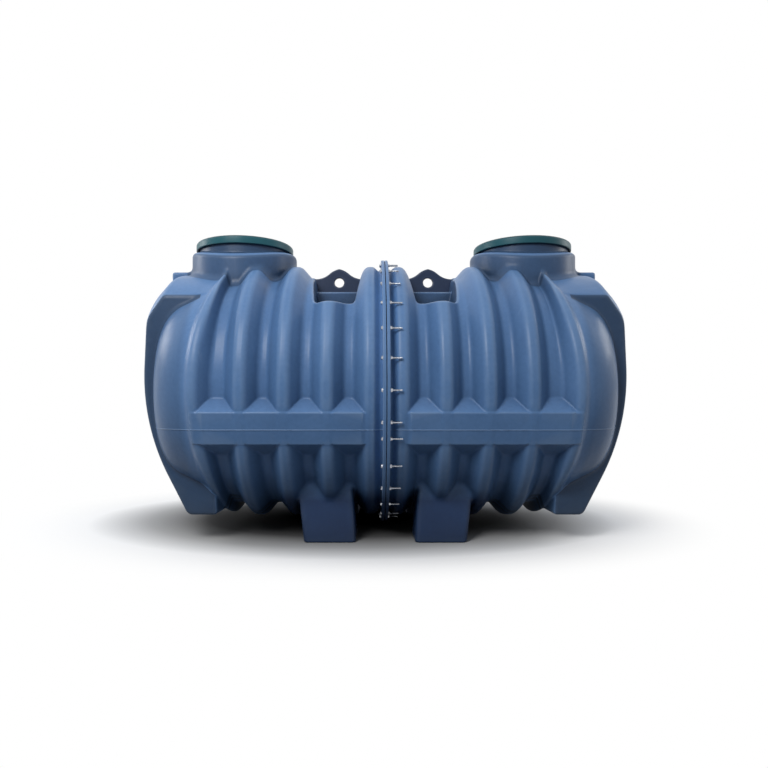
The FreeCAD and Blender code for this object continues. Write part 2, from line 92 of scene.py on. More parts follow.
# Corners and edges of one cell of the grid on which a surface is found
CELL_CORNERS = np.array([(i, j, k) for i in (0, 1) for j in (0, 1) for k in (0, 1)])
CELL_EDGES = [
    (first, second) for first in range(8) for second in range(first + 1, 8)
    if np.abs(CELL_CORNERS[first] - CELL_CORNERS[second]).sum() == 1
]

# Ribbed barrel
CREST_RADIUS = 0.762
GROOVE_RADIUS = 0.688
GROOVE_COUNT = 4
GROOVE_PITCH = 0.220
FIRST_GROOVE_X = 0.192
GROOVE_MOUTH = 0.172
GROOVE_FLOOR = 0.044
CREST_BLEND = 0.016
FLOOR_BLEND = 0.014
HUMP_ROOT_RADIUS = 0.735
HUMP_START_X = 0.034
HUMP_END_X = 0.064
HUMP_BLEND = 0.008

# Outer rib, which bends inboard and sinks towards the top and bottom, and domed end
OUTER_CREST_X = 1.010
OUTER_CREST_SINK = 0.020
OUTER_RIB = (
    (0.900, 0.686, 0.016),
    (0.962, 0.757, 0.014),
    (0.998, 0.758, 0.014),
    (1.024, 0.729, 0.012),
)
OUTER_CREST_BEND = 0.105
BEND_RAMP = (0.862, 0.935, 1.02, 1.27)
DOME_START = (1.080, 0.712)
DOME_START_BLEND = 0.018
DOME_SHOULDER = (1.262, 0.617)
DOME_POLE = (1.300, 0.0)
DOME_KNUCKLE = 0.33

# Boss over the middle of the end, and the raised ridge on top of it
BOSS_HALF_WIDTH = 0.485
BOSS_TOP_RADIUS = 0.710
BOSS_BOTTOM = -0.684
BOSS_TOE = (1.081, -0.684)
BOSS_BELLY = (1.335, -0.188)
BOSS_BROW = (1.292, 0.800)
BROW_CONE_BASE = (1.329, 0.598)
BROW_CONE_TOP = (1.217, 0.710)
BOSS_TOE_EDGE = 0.045
BOSS_BELLY_EDGE = 1.20
BOSS_BROW_EDGE = 0.04
BOSS_SIDE_EDGE = 0.014
BOSS_HEEL_X = 0.985
BOSS_HEEL_EDGE = 0.030
BOSS_BLEND = 0.014
BOSS_TOP_BLEND = 0.020
RIDGE_HALF_WIDTH = 0.100
RIDGE_TOP = 0.728
RIDGE_END_X = 1.298
RIDGE_EDGE = 0.014
RIDGE_BLEND = 0.010
BURIED_ROOT = BOSS_TOP_RADIUS / 2

# Manhole neck
NECK_RADIUS = 0.320
NECK_SHOULDER = 0.848
NECK_SHOULDER_EDGE = 0.026
NECK_BLEND = 0.034
COLLAR_BLEND = 0.010
BORE_DEPTH = 0.1

# Recess and lifting lug
FIRST_RIB_X = 0.302
RECESS_X = 0.278
RECESS_HALF_FLOOR = 0.1075
RECESS_FLOOR = 0.470
RECESS_SLOPE = 1 / 6
RECESS_CORNER = 0.026
RECESS_RIM_BLEND = 0.010
SHELF_TOP = 0.590
SHELF_HALF_WIDTH = 0.190
SHELF_EDGE = 0.010
SHELF_BLEND = 0.012
LUG_HALF_THICKNESS = 0.015
LUG_SHOULDER = 0.702
LUG_PEAK = 0.768
LUG_HALF_BASE = 0.098
LUG_HALF_PEAK = 0.024
LUG_BLEND = 0.034
LUG_EDGE = 0.005
LUG_HOLE_RADIUS = 0.030
LUG_HOLE_HEIGHT = 0.680
LUG_MARGIN = 0.01

# Side band, where a taper is a place along x and a slope
PARTING_HEIGHT = -0.205
BAND_RADIUS = 0.763
BAND_ROOT_RADIUS = 0.682
BAND_TOP = -0.118
BAND_BOTTOM = -0.279
BAND_RUN_OUT_TOP = -0.038
BAND_RUN_OUT_BOTTOM = -0.346
BAND_START_X = 0.085
BAND_END_X = 0.992
BAND_START_TAPER = (0.125, 0.22)
BAND_END_TAPER = (0.930, 0.11)
BAND_EDGE = 0.003
BAND_BLEND = 0.006

# Seam where the moulds part
SEAM_STEP = 0.004
SEAM_HALF_WIDTH = 0.0034
SEAM_PROUD = 0.0011
SEAM_SIDES = 8
SEAM_HALVINGS = 24

# Feet
FOOT_HALF_LENGTH = 0.142
FOOT_OUTER_Y = 0.512
FOOT_DEPTH = 0.250
FOOT_TOP = -0.422
FOOT_DRAFT = 0.016
FOOT_LEAN = 0.041
FOOT_SETBACK = 0.075
FOOT_CORNER = 0.026
FOOT_BLEND = 0.030
FOOT_SOLE_EDGE = 0.008

# Flange ring and other turned pieces
FLANGE_FACE_ARC = 0.0025
FLANGE_BACK_ARC = 0.005
FLANGE_ARC_STEPS = 6
FLANGE_SEGMENTS = 256
TURNED_SHARP_ANGLE = 40

# Bolts
BOLT_CIRCLE = FLANGE_RADIUS - 0.026
UPPER_BOLTS = 18
LOWER_BOLTS = 13
PARTING_BOLT_ANGLE = 3.2
BOLT_RADIUS = 0.005
BOLT_PITCH = 0.0016
THREAD_DEPTH = 0.0007
THREAD_STEPS = 3
THREAD_SIDES = 14
THREAD_OVERLAP = 0.001
BOLT_OVERRUN = 0.052
OVERRUN_SPREAD = (-0.006, 0.004)
TWIST_SEED = 7
HEX_RADIUS = 0.0098
HEX_CHAMFER = 0.0012
HEX_CHAMFER_DROP = 1.3 * HEX_CHAMFER
HEAD_HEIGHT = 0.0066
NUT_HEIGHT = 0.0084
WASHER_RADIUS = 0.0125
WASHER_HEIGHT = 0.0022
WASHER_SIDES = 24
BOLT_SHARP_ANGLE = 28

# Lid; its arcs are the corner radii from under the crown round to the top
LID_RADIUS = COLLAR_RADIUS + 0.018
LID_TOP = LID_SEAT + 0.009
LID_CROWN = 0.024
LID_SKIRT_BOTTOM = NECK_SHOULDER + 0.007
LID_SKIRT_INNER = COLLAR_RADIUS + 0.007
LID_UNDER_INSET = 0.045
LID_STEP_INSET = 0.030
LID_VALLEY = (0.010, 0.022)
LID_VALLEY_DEPTH = 0.004
LID_CROWN_INSET = 0.032
LID_CROWN_LIFT = 0.003
LID_ARCS = (0.05, 0.003, 0.002, 0.0055, 0.016, 0.006, 0.005, 0.005, 0.008)
LID_ARC_STEPS = 8
LID_SEGMENTS = 160

# Plastic colours: shaded, main, light and dusty
SHELL_COLOURS = ((0.082, 0.176, 0.365), (0.096, 0.202, 0.410), (0.116, 0.230, 0.450), (0.19, 0.30, 0.49))
LID_COLOURS = ((0.010, 0.106, 0.138), (0.014, 0.136, 0.174), (0.021, 0.166, 0.206), (0.10, 0.24, 0.29))
# The lug's colours are the shell's made much darker: painted shade of the recess it stands in
LUG_SHADED_COLOURS = ((0.018, 0.031, 0.067), (0.021, 0.036, 0.076), (0.027, 0.043, 0.088), (0.06, 0.08, 0.13))

# Painted shade: by ambient occlusion in hollows, in patches towards the ground, and on boss sides, necks,
# collars, feet and domes; rubbed edges with a painted highlight on crests; stops are pairs of position and
# level
# Painted shade from ambient occlusion in hollows, corners and gaps between forms
HOLLOW_SHADE_REACH = 0.35
HOLLOW_SHADE_SAMPLES = 6
HOLLOW_SHADE_STOPS = ((0.30, 0.20), (0.84, 1.0))
# Painted shade near the ground: darker towards the bottom, in noisy patches
GROUND_SHADE_PATCH = 0.12
GROUND_SHADE_STOPS = ((0.08, 0.50), (0.30, 0.88), (0.47, 1.0))
# Rubbed edges and a painted highlight along outer edges and rib crests, by how sharply the surface bends
WORN_EDGE_AND_HIGHLIGHT_STOPS = ((0.506, 0.0), (0.535, 0.7))
# Soft edges of the masks for painted shade on walls
SHADE_MASK_EDGE = 0.008
SHADE_MASK_FILLET = 0.014
NECK_FILLET = 0.026
# Painted shade on the boss's flat sides, reaching further in down at the heel
BOSS_SIDE_SHADE = 0.34
HEEL_TOP = -0.50
HEEL_SLANT = 1.0
# Painted shade on the neck's upright wall
NECK_SHADE = 0.50
# Painted shadow of the lid on the collar
COLLAR_SHADOW = 0.34
# Painted shade on the lower part of the feet
FOOT_SHADE = (0.20, 0.25, 0.34)
FOOT_SHADE_STOPS = ((0.22, 1.0), (0.30, 0.0))
# Painted shade on the domes beside the boss
DOME_SHADE = 0.76
DOME_SHADE_STOPS = ((0.015, 0.0), (0.050, 1.0))

# Camera, lamps (name, place, size and power), sky and floor
PHOTO_PIXELS = 768
CAMERA_PLACE = (-0.079, -3.65, AXIS_HEIGHT - 0.041)
CAMERA_LENS = 27.16
CAMERA_SHIFT = (13.0 / PHOTO_PIXELS, 13.5 / PHOTO_PIXELS)
SENSOR_WIDTH = 36.0
LAMP_AIM = (0, 0, 0.9)
LAMPS = (
    ("key", (-2.1, -3.9, 4.2), 2.0, 170),
    ("left_rim", (-5.0, 0.8, 2.9), 1.6, 48),
    ("right_rim", (5.0, 0.8, 2.9), 1.6, 34),
)
SKY_COLOUR = (0.97, 0.985, 1.0)
SKY_FROM_RIGHT_BACK_TOP = (0.46, 0.65, 0.42)
SKY_FROM_LEFT_FRONT_BELOW = (0.18, 0.05, 0.0)
FLOOR_REACH = 30.0
FLOOR_ROUGHNESS = 0.9
FLOOR_BOUNCE = (0.12, 0.12, 0.125)
# Floor greys by distance from the middle: a painted shadow round the object
FLOOR_PAINTED_SHADOW = ((0.16, 0.0), (0.40, 0.11), (0.56, 0.45), (0.72, 0.97))
FADE_SPREAD = (2.35, 1.45)
FADE_MIDDLE = (-0.20, 0.20)
FADE_START = 0.64


def soft_min(a, b, blend):
    """Union of two forms with a soft inner corner."""
    overlap = np.maximum(blend - np.abs(a - b), 0.0)
    return np.minimum(a, b) - overlap * overlap / (4 * blend)


def soft_max(a, b, blend):
    """What two forms share, with a soft edge."""
    return -soft_min(-a, -b, blend)


def rounded_meet(a, b, cosine, radius):
    """Two faces that meet in a round edge; cosine is that of the angle between their normals."""
    u = a + radius
    v = b + radius
    reach = np.sqrt(np.maximum(u * u + v * v - 2 * cosine * u * v, 0.0) / (1 - cosine * cosine))
    in_edge = (u > cosine * v) & (v > cosine * u)
    return np.where(in_edge, reach, np.maximum(u, v)) - radius


def right_normal(start, end):
    """Unit normal on the right of a run between two profile points."""
    run = np.subtract(end, start)
    return np.array((run[1], -run[0])) / np.hypot(*run)


def beyond(p, q, start, end):
    """Distance of (p, q) from the line through two profile points, positive on its right."""
    normal = right_normal(start, end)
    return (p - start[0]) * normal[0] + (q - start[1]) * normal[1]


def smooth_step(value, low, high):
    """Rises softly from 0 at low to 1 at high."""
    t = np.clip((value - low) / (high - low), 0.0, 1.0)
    return t * t * (3 - 2 * t)


def barrel_corners():
    """Corners of the turned profile as (place along the axis, radius, blend)."""
    corners = [
        (0.0, HUMP_ROOT_RADIUS, HUMP_BLEND),
        (HUMP_START_X, HUMP_ROOT_RADIUS, HUMP_BLEND),
        (HUMP_END_X, CREST_RADIUS, HUMP_BLEND),
    ]
    for index in range(GROOVE_COUNT):
        middle = FIRST_GROOVE_X + index * GROOVE_PITCH
        corners.append((middle - GROOVE_MOUTH / 2, CREST_RADIUS, CREST_BLEND))
        corners.append((middle - GROOVE_FLOOR / 2, GROOVE_RADIUS, FLOOR_BLEND))
        if index < GROOVE_COUNT - 1:
            corners.append((middle + GROOVE_FLOOR / 2, GROOVE_RADIUS, FLOOR_BLEND))
            corners.append((middle + GROOVE_MOUTH / 2, CREST_RADIUS, CREST_BLEND))
    corners.extend(OUTER_RIB)
    corners.append((*DOME_START, DOME_START_BLEND))
    corners.append((*DOME_SHOULDER, DOME_START_BLEND))
    return corners


def barrel_profile(x):
    """Radius of the turned profile at x, and its slope, with every corner rounded."""
    corners = barrel_corners()
    radius = np.full_like(x, corners[0][1])
    slope = np.zeros_like(x)
    before = 0.0
    for (start_x, start_r, blend), (end_x, end_r, _) in zip(corners, corners[1:]):
        after = (end_r - start_r) / (end_x - start_x)
        u = x - start_x
        part = np.clip((u + blend) / (2 * blend), 0.0, 1.0)
        turn = after - before
        radius += turn * np.where(part < 1, part * part * blend, u)
        slope += turn * part
        before = after
    return radius, slope


def outer_rib_share(x, y, z):
    """One at the top and bottom of the outer rib, falling to none at its sides and away from it."""
    upright = z * z / np.maximum(y * y + z * z, 1e-6)
    rise_start, rise_end, fall_start, fall_end = BEND_RAMP
    near = smooth_step(x, rise_start, rise_end) * (1 - smooth_step(x, fall_start, fall_end))
    return upright * near


def bent_x(x, y, z):
    """Place along the profile, after undoing the bend of the outer rib towards top and bottom."""
    return x + OUTER_CREST_BEND * outer_rib_share(x, y, z)


def barrel_and_dome(along, x, y, z):
    """The turned barrel with its ribs, closed by the domed end."""
    distance = np.hypot(y, z)
    radius, slope = barrel_profile(along)
    radius = radius - OUTER_CREST_SINK * outer_rib_share(x, y, z)
    barrel = (distance - radius) / np.sqrt(1 + slope * slope)
    end = -beyond(x, distance, DOME_SHOULDER, DOME_POLE)
    cone_normal = -right_normal(DOME_START, DOME_SHOULDER)
    end_normal = -right_normal(DOME_SHOULDER, DOME_POLE)
    return rounded_meet(barrel, end, float(cone_normal @ end_normal), DOME_KNUCKLE)


def end_boss(along, x, y, z):
    """The flat sided boss with its sloping foot, belly and rounded brow."""
    slant_normal = right_normal(BOSS_TOE, BOSS_BELLY)
    face_normal = right_normal(BOSS_BELLY, BOSS_BROW)
    slant = beyond(x, z, BOSS_TOE, BOSS_BELLY)
    face = beyond(x, z, BOSS_BELLY, BOSS_BROW)
    front = rounded_meet(slant, face, float(slant_normal @ face_normal), BOSS_BELLY_EDGE)
    front = rounded_meet(front, BOSS_BOTTOM - z, float(-slant_normal[1]), BOSS_TOE_EDGE)
    distance = np.hypot(y, np.maximum(z, 0.0))
    cone_normal = right_normal(BROW_CONE_BASE, BROW_CONE_TOP)
    cone = beyond(x, distance, BROW_CONE_BASE, BROW_CONE_TOP)
    top = rounded_meet(cone, distance - BOSS_TOP_RADIUS, float(cone_normal[1]), BOSS_BROW_EDGE)
    form = soft_max(front, top, BOSS_TOP_BLEND)
    form = rounded_meet(form, np.abs(y) - BOSS_HALF_WIDTH, 0.0, BOSS_SIDE_EDGE)
    return rounded_meet(form, BOSS_HEEL_X - along, 0.0, BOSS_HEEL_EDGE)


def end_ridge(x, y, z):
    """The raised ridge on the middle line from the neck over the boss."""
    form = rounded_meet(z - RIDGE_TOP, x - RIDGE_END_X, 0.0, RIDGE_EDGE)
    form = rounded_meet(form, np.abs(y) - RIDGE_HALF_WIDTH, 0.0, RIDGE_EDGE)
    return np.maximum(form, np.maximum(MANHOLE_X - x, BURIED_ROOT - z))


def manhole_neck(x, y, z):
    """The upright neck, curved on top like the barrel, with its narrower collar."""
    distance = np.hypot(x - MANHOLE_X, y)
    top = np.hypot(y, np.maximum(z, 0.0)) - NECK_SHOULDER
    wide = rounded_meet(distance - NECK_RADIUS, top, 0.0, NECK_SHOULDER_EDGE)
    collar = np.maximum(distance - COLLAR_RADIUS, z - COLLAR_TOP)
    return np.maximum(soft_min(wide, collar, COLLAR_BLEND), BURIED_ROOT - z)


def recess_side(x, z):
    """Distance along x past the sloping ends of the recess."""
    return np.abs(x - RECESS_X) - RECESS_HALF_FLOOR - RECESS_SLOPE * (z - RECESS_FLOOR)


def lug_recess(x, y, z):
    """The space cut down from the first rib, over a shelf that carries the lug."""
    side_scale = math.hypot(1.0, RECESS_SLOPE)
    side = recess_side(x, z) / side_scale
    void = rounded_meet(side, RECESS_FLOOR - z, RECESS_SLOPE / side_scale, RECESS_CORNER)
    shelf = rounded_meet(np.abs(y) - SHELF_HALF_WIDTH, z - SHELF_TOP, 0.0, SHELF_EDGE)
    return soft_max(void, -shelf, SHELF_BLEND)


def lifting_lug(x, y, z):
    """The bell shaped plate with its eye."""
    offset = np.abs(x - RECESS_X)
    slope = (LUG_PEAK - LUG_SHOULDER) / (LUG_HALF_BASE - LUG_HALF_PEAK)
    flank = (z - LUG_SHOULDER - slope * (LUG_HALF_BASE - offset)) / math.hypot(1.0, slope)
    bell = soft_max(flank, z - LUG_PEAK, LUG_BLEND)
    outline = soft_min(bell, z - LUG_SHOULDER, LUG_BLEND)
    hole = LUG_HOLE_RADIUS - np.hypot(offset, z - LUG_HOLE_HEIGHT)
    outline = np.maximum(outline, hole)
    plate = rounded_meet(outline, np.abs(y) - LUG_HALF_THICKNESS, 0.0, LUG_EDGE)
    return np.maximum(plate, np.maximum(recess_side(x, z) - WALL, SHELF_TOP - WALL - z))


def side_band(x, y, z):
    """The band of flat facets that bridges the grooves and sinks into the ribs at its ends."""
    depth = np.abs(y)

    def on_circle(radius, height):
        return math.sqrt(radius ** 2 - height ** 2), height

    stops = [
        on_circle(BAND_ROOT_RADIUS, BAND_RUN_OUT_BOTTOM),
        on_circle(BAND_RADIUS, BAND_BOTTOM),
        on_circle(BAND_RADIUS, PARTING_HEIGHT),
        on_circle(BAND_RADIUS, BAND_TOP),
        on_circle(BAND_ROOT_RADIUS, BAND_RUN_OUT_TOP),
    ]
    form = beyond(depth, z, stops[0], stops[1])
    normal = right_normal(stops[0], stops[1])
    for start, end in zip(stops[1:], stops[2:]):
        following = right_normal(start, end)
        form = rounded_meet(form, beyond(depth, z, start, end), float(normal @ following), BAND_EDGE)
        normal = following
    form = form + BAND_START_TAPER[1] * np.maximum(BAND_START_TAPER[0] - x, 0.0)
    form = form + BAND_END_TAPER[1] * np.maximum(x - BAND_END_TAPER[0], 0.0)
    return np.maximum(form, np.maximum(BAND_START_X - x, x - BAND_END_X))


def foot(x, y, z):
    """A drafted foot that leans away from the flange as it rises, with its outer face set back."""
    rise = (z - FOOT_BOTTOM) / (FOOT_TOP - FOOT_BOTTOM)
    spread = FOOT_DRAFT * rise
    length = np.abs(x - FIRST_RIB_X - FOOT_LEAN * rise) - FOOT_HALF_LENGTH - spread
    outer = np.abs(y) - FOOT_OUTER_Y + FOOT_SETBACK * rise
    inner = FOOT_OUTER_Y - FOOT_DEPTH - spread - np.abs(y)
    form = rounded_meet(length, np.maximum(outer, inner), 0.0, FOOT_CORNER)
    return np.maximum(rounded_meet(form, FOOT_BOTTOM - z, 0.0, FOOT_SOLE_EDGE), z - FOOT_TOP)


def moulding(x, y, z):
    """Distance to the outer face of the right half, negative inside."""
    along = bent_x(x, y, z)
    form = barrel_and_dome(along, x, y, z)
    form = soft_min(form, end_boss(along, x, y, z), BOSS_BLEND)
    form = soft_min(form, end_ridge(x, y, z), RIDGE_BLEND)
    form = soft_min(form, side_band(x, y, z), BAND_BLEND)
    form = soft_min(form, foot(x, y, z), FOOT_BLEND)
    form = soft_max(form, -lug_recess(x, y, z), RECESS_RIM_BLEND)
    return soft_min(form, manhole_neck(x, y, z), NECK_BLEND)


def inner_face(x, y, z):
    """Distance to the inner face of the right half, with the way in through the collar left open."""
    bottom = NECK_SHOULDER - BORE_DEPTH
    bore = np.maximum(np.hypot(x - MANHOLE_X, y) - COLLAR_RADIUS + WALL, bottom - z)
    return np.minimum(moulding(x, y, z) + WALL, bore)


def gradient(field, points):
    """Slope of a field at each point."""
    x, y, z = points.T
    step = NORMAL_STEP
    return np.stack((
        field(x + step, y, z) - field(x - step, y, z),
        field(x, y + step, z) - field(x, y - step, z),
        field(x, y, z + step) - field(x, y, z - step),
    ), axis=1) / (2 * step)


def drawn_to(field, points, limit, rounds=2):
    """The points moved onto the field's zero surface, by at most the limit in each round."""
    for _ in range(rounds):
        slope = gradient(field, points)
        value = field(*points.T)[:, None]
        squared = (slope * slope).sum(axis=1, keepdims=True)
        move = value * slope / np.maximum(squared, LEAST_SQUARED_SLOPE)
        points = points - np.clip(move, -limit, limit)
    return points


def unit_gradient(field, points):
    """Outward normal of the field's zero surface at each point."""
    slope = gradient(field, points)
    return slope / np.maximum(np.linalg.norm(slope, axis=1, keepdims=True), 1e-9)


def mirrored_grid(field, low, high, step):
    """Axes of a grid in a box from y = 0 with its mirror image, and the field's values on it."""
    starts = (low[0], low[1] + step / 2, low[2])
    axes = [np.arange(start, end + step, step) for start, end in zip(starts, high)]
    grid = np.meshgrid(*(axis.astype(np.float32) for axis in axes), indexing="ij", sparse=True)
    half = field(*np.broadcast_arrays(*grid))
    values = np.concatenate((half[:, ::-1], half), axis=1)
    axes[1] = np.concatenate((-axes[1][::-1], axes[1]))
    return axes, values


def mean_crossing(values, cells):
    """Mean of the places where the surface crosses the edges of each cell, from its low corner."""
    at_corner = [values[tuple((cells + corner).T)] for corner in CELL_CORNERS]
    total = np.zeros((len(cells), 3))
    crossings = np.zeros(len(cells))
    for first, second in CELL_EDGES:
        a, b = at_corner[first], at_corner[second]
        crossed = (a < 0) != (b < 0)
        share = np.where(crossed, a / np.where(crossed, a - b, 1.0), 0.0)[:, None]
        place = CELL_CORNERS[first] + share * (CELL_CORNERS[second] - CELL_CORNERS[first])
        total += np.where(crossed[:, None], place, 0.0)
        crossings += crossed
    return total / crossings[:, None]


def crossing_quads(inside, number):
    """A quad round every grid edge that the surface crosses, between the numbered cells about it."""
    quads = []
    for axis in range(3):
        second, third = (axis + 1) % 3, (axis + 2) % 3
        below = np.take(inside, range(inside.shape[axis] - 1), axis)
        above = np.take(inside, range(1, inside.shape[axis]), axis)
        edges = np.argwhere(below != above)
        keep = (edges[:, second] > 0) & (edges[:, second] < inside.shape[second] - 1)
        keep &= (edges[:, third] > 0) & (edges[:, third] < inside.shape[third] - 1)
        edges = edges[keep]
        around = []
        for back_second, back_third in ((1, 1), (0, 1), (0, 0), (1, 0)):
            cell = edges.copy()
            cell[:, second] -= back_second
            cell[:, third] -= back_third
            around.append(number[tuple(cell.T)])
        quad = np.stack(around, axis=1)
        outward = below[tuple(edges.T)]
        quads.append(np.where(outward[:, None], quad, quad[:, ::-1]))
    return np.concatenate(quads)


def surface_net(field, low, high, step):
    """Points and quads of a field's zero surface in a box from y = 0 and its mirror image."""
    axes, values = mirrored_grid(field, low, high, step)
    inside = values < 0
    count = sum(
        inside[i:i - 1 or None, j:j - 1 or None, k:k - 1 or None].astype(np.int8)
        for i, j, k in CELL_CORNERS
    )
    cells = np.argwhere((count > 0) & (count < len(CELL_CORNERS)))
    number = np.full(count.shape, -1, dtype=np.int32)
    number[tuple(cells.T)] = np.arange(len(cells))
    start = np.array([axis[0] for axis in axes])
    points = start + step * (cells + mean_crossing(values, cells))
    return points, crossing_quads(inside, number)


def as_triangles(quads):
    """Each quad as two triangles."""
    return np.concatenate((quads[:, (0, 1, 2)], quads[:, (0, 2, 3)]))


def new_mesh(name, points, faces):
    """A smooth mesh from points and faces."""
    mesh = bpy.data.meshes.new(name)
    mesh.from_pydata(points, [], faces, shade_flat=False)
    return mesh


def add_object(name, mesh):
    """A mesh as an object of the scene."""
    piece = bpy.data.objects.new(name, mesh)
    bpy.context.scene.collection.objects.link(piece)
    return piece


def mesh_arrays(mesh):
    """Points and triangles of a mesh that has only triangles."""
    points = np.empty(len(mesh.vertices) * 3, dtype=np.float32)
    mesh.vertices.foreach_get("co", points)
    corners = np.empty(len(mesh.loops), dtype=np.int32)
    mesh.loops.foreach_get("vertex_index", corners)
    return points.reshape(-1, 3).astype(float), corners.reshape(-1, 3)


def thinned(points, faces, triangles):
    """The same surface with about that many triangles, more of them where it curves."""
    scratch = add_object("scratch", new_mesh("scratch", points, faces))
    fewer = scratch.modifiers.new("fewer", "DECIMATE")
    fewer.ratio = min(1.0, triangles / (2 * len(faces)))
    fewer.use_collapse_triangulate = True
    depsgraph = bpy.context.evaluated_depsgraph_get()
    mesh = bpy.data.meshes.new_from_object(scratch.evaluated_get(depsgraph))
    arrays = mesh_arrays(mesh)
    for spare in (mesh, scratch.data):
        bpy.data.meshes.remove(spare)
    return arrays


def without_cap(points, faces):
    """Leaves out the disc that closes the collar, which is open under the lid."""
    near = np.hypot(points[:, 0] - MANHOLE_X, points[:, 1]) < COLLAR_RADIUS - WALL / 2
    cap = near & (points[:, 2] > NECK_SHOULDER)
    return faces[~cap[faces].any(axis=1)]


def drawn_up_to_seal(points, faces):
    """Brings the open edge of the collar to the foot of the seal that lies on it."""
    edges = np.sort(np.concatenate((faces[:, (0, 1)], faces[:, (1, 2)], faces[:, (2, 0)])), axis=1)
    edges, uses = np.unique(edges, axis=0, return_counts=True)
    open_edge = np.unique(edges[uses == 1])
    offset = points[open_edge, :2] - (MANHOLE_X, 0.0)
    distance = np.hypot(offset[:, 0], offset[:, 1])
    on_collar = (distance < COLLAR_RADIUS + WALL) & (points[open_edge, 2] > NECK_SHOULDER)
    rim = open_edge[on_collar]
    outward = offset[on_collar] / distance[on_collar, None]
    drawn = points.copy()
    drawn[rim, :2] = outward * COLLAR_RADIUS + (MANHOLE_X, 0.0)
    drawn[rim, 2] = COLLAR_TOP
    return drawn


def half_skin():
    """Points, triangles and normals of the right half's moulded skin with its liner."""
    margin_x, margin_y, margin_z = SKIN_MARGIN
    low = (SKIN_START_X, 0.0, FOOT_BOTTOM - margin_z)
    high = (BOSS_BELLY[0] + margin_x, BAND_RADIUS + margin_y, COLLAR_TOP + margin_z)
    points, faces = surface_net(moulding, low, high, SKIN_STEP)
    points = drawn_to(moulding, points, SKIN_STEP / 2)
    points, faces = thinned(points, faces, SKIN_TRIANGLES)
    points = drawn_to(moulding, points, SKIN_STEP / 2)
    faces = without_cap(points, faces)
    normals = unit_gradient(moulding, points)
    points = drawn_up_to_seal(points, faces)
    liner_high = (high[0], high[1], COLLAR_TOP - LINER_STEP)
    liner, liner_faces = surface_net(inner_face, low, liner_high, LINER_STEP)
    liner = drawn_to(inner_face, liner, LINER_STEP / 2)
    liner_faces = as_triangles(liner_faces[:, ::-1])
    liner_normals = -unit_gradient(inner_face, liner)
    return (
        np.concatenate((points, liner)),
        np.concatenate((faces, liner_faces + len(points))),
        np.concatenate((normals, liner_normals)),
    )


def lug_skin():
    """Points, triangles and normals of the right half's lifting lug."""
    reach = RECESS_HALF_FLOOR + RECESS_SLOPE * (LUG_SHOULDER - RECESS_FLOOR) + 3 * WALL
    low = (RECESS_X - reach, 0.0, SHELF_TOP - 2 * WALL)
    high = (RECESS_X + reach, LUG_HALF_THICKNESS + LUG_MARGIN, LUG_PEAK + 2 * LUG_MARGIN)
    points, faces = surface_net(lifting_lug, low, high, LUG_STEP)
    points = drawn_to(lifting_lug, points, LUG_STEP / 2, rounds=3)
    return points, as_triangles(faces), unit_gradient(lifting_lug, points)


def on_half(points, sign):
    """Points of the right half, moved to the half with that sign."""
    return points * np.array((sign, 1.0, 1.0)) + np.array((0.0, 0.0, AXIS_HEIGHT))


def moulded_piece(name, arrays, sign):
    """A moulded surface as a piece on the right (sign 1) or left (sign -1) half."""
    points, faces, normals = arrays
    mesh = new_mesh(name, on_half(points, sign), faces if sign > 0 else faces[:, ::-1])
    mirrored = normals * np.array((sign, 1.0, 1.0))
    mesh.normals_split_custom_set_from_vertices(mirrored.astype(np.float32))
    return add_object(name, mesh)


def tube_faces(rings, count):
    """Quads between neighbouring rings that have that many points each."""
    start = np.arange(rings - 1)[:, None] * count
    here = start + np.arange(count)
    beside = start + (np.arange(count) + 1) % count
    return np.stack((here, beside, beside + count, here + count), axis=-1).reshape(-1, 4)


def seam_path():
    """Places and outward normals along the right half's side at the height where the moulds part."""
    x = np.arange(FLANGE_BACK_X, BOSS_BELLY[0], SEAM_STEP)
    height = np.full_like(x, PARTING_HEIGHT)
    near = np.full_like(x, BOSS_HALF_WIDTH - WALL)
    far = np.full_like(x, BAND_RADIUS + WALL)
    for _ in range(SEAM_HALVINGS):
        middle = (near + far) / 2
        inside = moulding(x, middle, height) < 0
        near = np.where(inside, middle, near)
        far = np.where(inside, far, middle)
    clear_of_boss = near > BOSS_HALF_WIDTH + SEAM_HALF_WIDTH
    path = np.stack((x, near, height), axis=1)[clear_of_boss]
    return path, unit_gradient(moulding, path)


def parting_seam(side, sign):
    """The fine raised line along the front and rear of a half where the moulds part."""
    name = side + "_parting_seam"
    path, outward = seam_path()
    turns = np.linspace(0, 2 * math.pi, SEAM_SIDES, endpoint=False)
    rings = path[:, None, :] + SEAM_PROUD * np.sin(turns)[None, :, None] * outward[:, None, :]
    rings[:, :, 2] += SEAM_HALF_WIDTH * np.cos(turns)
    rear = on_half(rings.reshape(-1, 3), sign)
    front = rear * np.array((1, -1, 1))
    faces = tube_faces(len(path), SEAM_SIDES)
    rear_faces = faces[:, ::-1] if sign > 0 else faces
    both = np.concatenate((rear_faces, rear_faces[:, ::-1] + len(rear)))
    return add_object(name, new_mesh(name, np.concatenate((rear, front)), both))


def rounded_profile(corners, steps):
    """An open profile through corners of (radius, place along the axis, arc radius)."""
    points = [Vector(corner[:2]) for corner in corners]
    arcs = [corner[2] for corner in corners]
    path = [points[0]]
    for before, corner, following, radius in zip(points, points[1:], points[2:], arcs[1:]):
        if radius == 0:
            path.append(corner)
            continue
        back = (before - corner).normalized()
        ahead = (following - corner).normalized()
        half = back.angle(ahead) / 2
        centre = corner + (back + ahead).normalized() * (radius / math.sin(half))
        first = corner + back * (radius / math.tan(half)) - centre
        last = corner + ahead * (radius / math.tan(half)) - centre
        for step in range(steps + 1):
            path.append(centre + first.lerp(last, step / steps).normalized() * radius)
    path.append(points[-1])
    return path


def smooth_up_to(mesh, angle):
    """Smooth shading that keeps edges over an angle in degrees sharp."""
    mesh.polygons.foreach_set("use_smooth", [True] * len(mesh.polygons))
    mesh.set_sharp_from_angle(angle=math.radians(angle))


